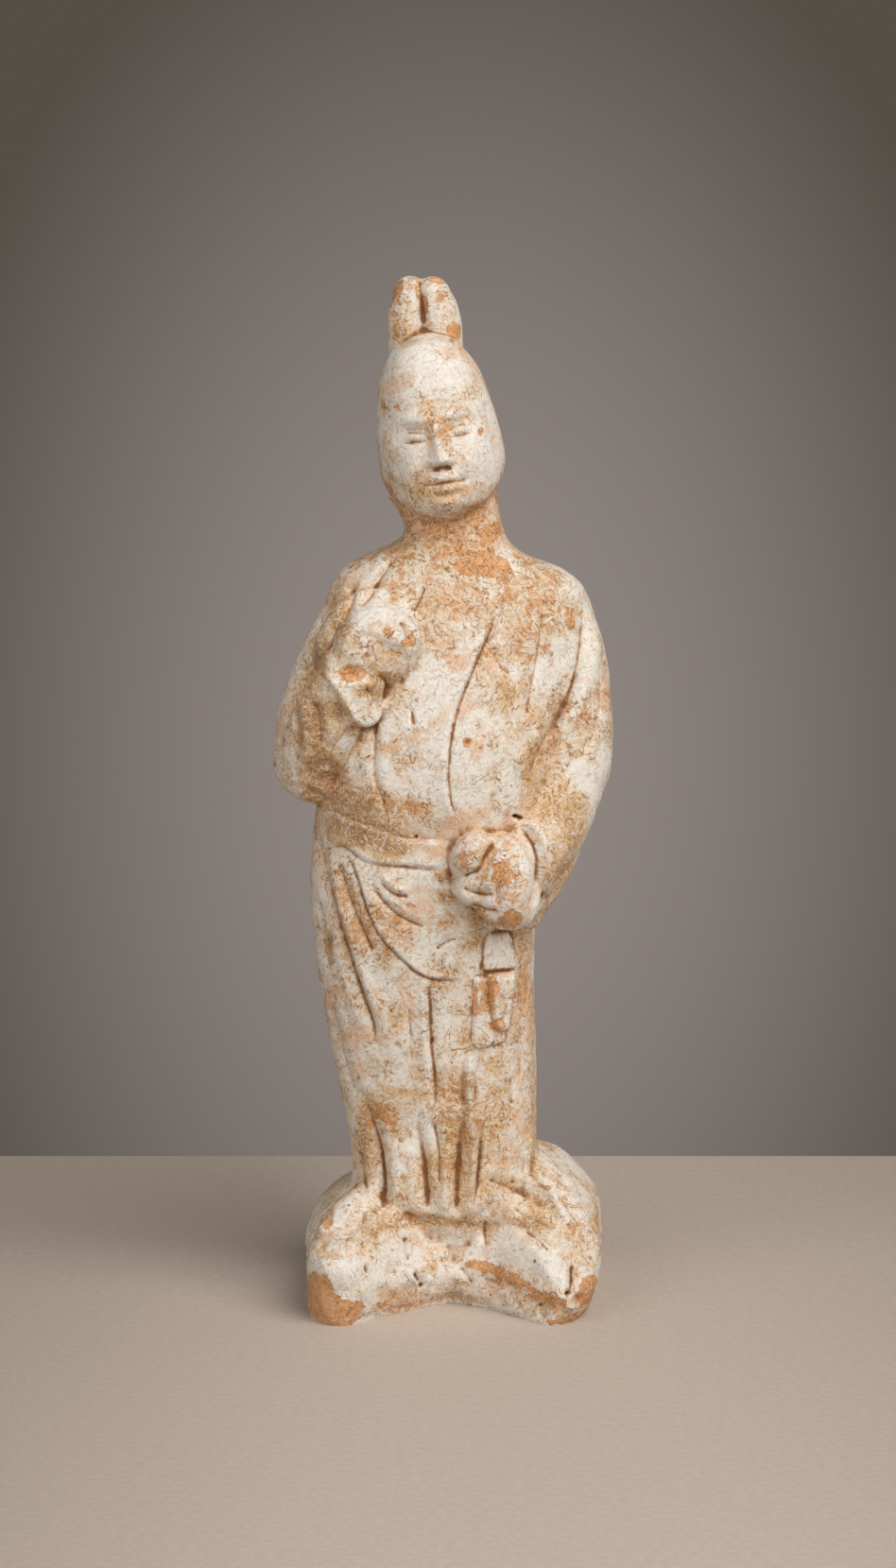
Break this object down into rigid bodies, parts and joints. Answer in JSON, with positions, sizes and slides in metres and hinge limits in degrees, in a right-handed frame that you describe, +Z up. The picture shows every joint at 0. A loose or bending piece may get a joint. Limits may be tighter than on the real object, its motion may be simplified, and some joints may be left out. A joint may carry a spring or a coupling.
{
  "type": "terracotta tomb figure",
  "caption": "Standing attendant in fired clay with a tall two-lobed cap, a long belted robe, one fist at the chest, the other at the hip, and a rough base in one with the feet.",
  "frame": {"origin": "on the floor under the middle of the base, centre of its flat underside", "axes": "+Z up; the figure faces -Y; +X is on the figure's left, the viewer's right"},
  "size_m": [0.0988, 0.0799, 0.3001],
  "materials": {
    "terracotta": "matt fired clay under a worn cream slip, with bare orange and ochre patches"
  },
  "bodies": {
    "root": {"figure": "terracotta"}
  },
  "joints": []
}
